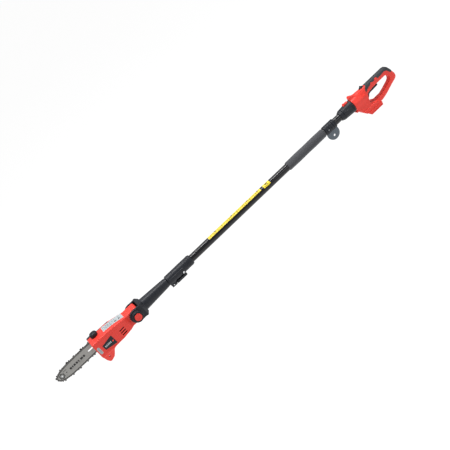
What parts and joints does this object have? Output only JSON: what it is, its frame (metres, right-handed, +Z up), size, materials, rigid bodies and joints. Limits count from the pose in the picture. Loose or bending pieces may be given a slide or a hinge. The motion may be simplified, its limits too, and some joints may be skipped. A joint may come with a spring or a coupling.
{
  "type": "telescoping pole saw",
  "caption": "Cordless telescoping pole saw: tilting chainsaw head on a sliding pole with a quick clamp, foam grip, strap eye and a detachable D-shaped rear handle.",
  "frame": {"origin": "centre of the strap eye's hole, under the pole ahead of the rear handle", "axes": "+X along the pole from the saw head to the rear handle, +Z up, -Y is the tool's left side"},
  "size_m": [1.8919, 0.13, 0.1448],
  "materials": {
    "red_plastic": "satin moulded",
    "black_plastic": "fine grain",
    "black_tube": "gloss black",
    "foam": "closed-cell foam",
    "soft_rubber": "soft overmould",
    "eye_metal": "grey enamel",
    "bar_steel": "ground",
    "chain_steel": "oiled",
    "bright_steel": "zinc plated",
    "tank_plastic": "natural",
    "yellow_label": "printed",
    "white_label": "printed",
    "board_green": "lacquered"
  },
  "bodies": {
    "outer_pole": {"outer_tube": "black_tube", "clamp_collar": "black_plastic", "clamp_bolt": "bright_steel", "lever_pin": "bright_steel", "foam_grip": "foam", "strap_clamp": "black_plastic", "strap_eye": "eye_metal", "strap_screw": "bright_steel", "coupling_sleeve": "black_plastic", "pole_strip": "yellow_label", "pole_label": "yellow_label", "latch_spring": "bright_steel"},
    "clamp_lever": {"clamp_lever": "black_plastic"},
    "inner_pole": {"inner_tube": "black_tube", "fork": "black_plastic", "tube_bush": "black_plastic", "pivot_tube": "bright_steel", "coil_cable": "soft_rubber", "tilt_spring": "bright_steel"},
    "tilt_button": {"tilt_button": "red_plastic"},
    "saw_head": {"head_left_shell": "red_plastic", "head_right_shell": "red_plastic", "head_screws": "bright_steel", "motor_can": "chain_steel", "gear_plate": "bright_steel", "output_bearings": "bright_steel", "oil_tank": "tank_plastic", "oil_pump": "chain_steel", "guide_bar": "bar_steel", "bar_stud": "bright_steel", "saw_chain": "chain_steel", "tensioner": "bright_steel", "nose_rivet": "bright_steel", "name_plate": "black_plastic", "top_label": "white_label", "side_badge": "white_label"},
    "motor_rotor": {"motor_rotor": "bright_steel"},
    "output_shaft": {"output_shaft": "bright_steel"},
    "nose_sprocket": {"nose_sprocket": "chain_steel"},
    "oil_cap": {"oil_cap": "black_plastic"},
    "sprocket_cover": {"sprocket_cover": "black_plastic"},
    "cover_knob": {"cover_knob": "red_plastic"},
    "rear_handle": {"handle_left_shell": "red_plastic", "handle_right_shell": "red_plastic", "foot_left_rail": "red_plastic", "foot_right_rail": "red_plastic", "soft_grip": "soft_rubber", "handle_spigot": "black_plastic", "handle_screws": "bright_steel", "battery_terminals": "black_plastic", "trigger_switch": "black_plastic", "circuit_board": "board_green", "trigger_spring": "bright_steel"},
    "trigger": {"trigger": "black_plastic"},
    "lock_slider": {"lock_slider": "black_plastic"},
    "release_latch": {"release_latch": "red_plastic"}
  },
  "joints": [
    {"name": "telescope", "type": "slide", "parent": "outer_pole", "child": "inner_pole", "axis": [-1, 0, 0], "range_m": [0, 0.6], "deforming": ["coil_cable"]},
    {"name": "clamp_lever_swing", "type": "hinge", "parent": "outer_pole", "child": "clamp_lever", "pos_m": [-0.92, 0, 0.017], "axis": [0, 1, 0], "range_deg": [0, 95]},
    {"name": "head_tilt", "type": "hinge", "parent": "inner_pole", "child": "saw_head", "pos_m": [-1.1145, 0, 0.043], "axis": [0, -1, 0], "range_deg": [0, 60]},
    {"name": "tilt_release", "type": "slide", "parent": "inner_pole", "child": "tilt_button", "axis": [0, 1, 0], "range_m": [0, 0.0045], "stiffness_N_per_m": 600, "deforming": ["tilt_spring"]},
    {"name": "output_spin", "type": "hinge", "parent": "saw_head", "child": "output_shaft", "pos_m": [-1.221, 0, 0.043], "axis": [0, 1, 0], "continuous": true},
    {"name": "motor_spin", "type": "hinge", "parent": "saw_head", "child": "motor_rotor", "pos_m": [-1.192, 0, 0.043], "axis": [0, 1, 0], "continuous": true},
    {"name": "nose_spin", "type": "hinge", "parent": "saw_head", "child": "nose_sprocket", "pos_m": [-1.493, 0, 0.043], "axis": [0, 1, 0], "continuous": true},
    {"name": "oil_cap_turn", "type": "hinge", "parent": "saw_head", "child": "oil_cap", "pos_m": [-1.29, 0.012, 0.085], "axis": [0, 0, 1], "range_deg": [0, 360]},
    {"name": "cover_pull", "type": "slide", "parent": "saw_head", "child": "sprocket_cover", "axis": [0, 1, 0], "range_m": [0, 0.05]},
    {"name": "cover_knob_turn", "type": "hinge", "parent": "sprocket_cover", "child": "cover_knob", "pos_m": [-1.295, 0.06, 0.043], "axis": [0, 1, 0], "range_deg": [0, 720]},
    {"name": "handle_pull", "type": "slide", "parent": "outer_pole", "child": "rear_handle", "axis": [1, 0, 0], "range_m": [0, 0.07]},
    {"name": "trigger_squeeze", "type": "hinge", "parent": "rear_handle", "child": "trigger", "pos_m": [0.227, 0, 0.0445], "axis": [0, -1, 0], "range_deg": [0, 7], "stiffness_Nm_per_rad": 0.6, "springref_deg": -6.88, "deforming": ["trigger_spring"]},
    {"name": "lock_slide", "type": "slide", "parent": "rear_handle", "child": "lock_slider", "axis": [-1, 0, 0], "range_m": [0, 0.004], "stiffness_N_per_m": 300, "springref_m": -0.002},
    {"name": "latch_press", "type": "slide", "parent": "outer_pole", "child": "release_latch", "axis": [0, 0, -1], "range_m": [0, 0.003], "stiffness_N_per_m": 600, "springref_m": -0.002, "deforming": ["latch_spring"]}
  ],
  "couplings": [
    {"joint": "motor_spin", "follows": "output_spin", "ratio": -4.8},
    {"joint": "nose_spin", "follows": "output_spin", "ratio": 0.66667}
  ]
}
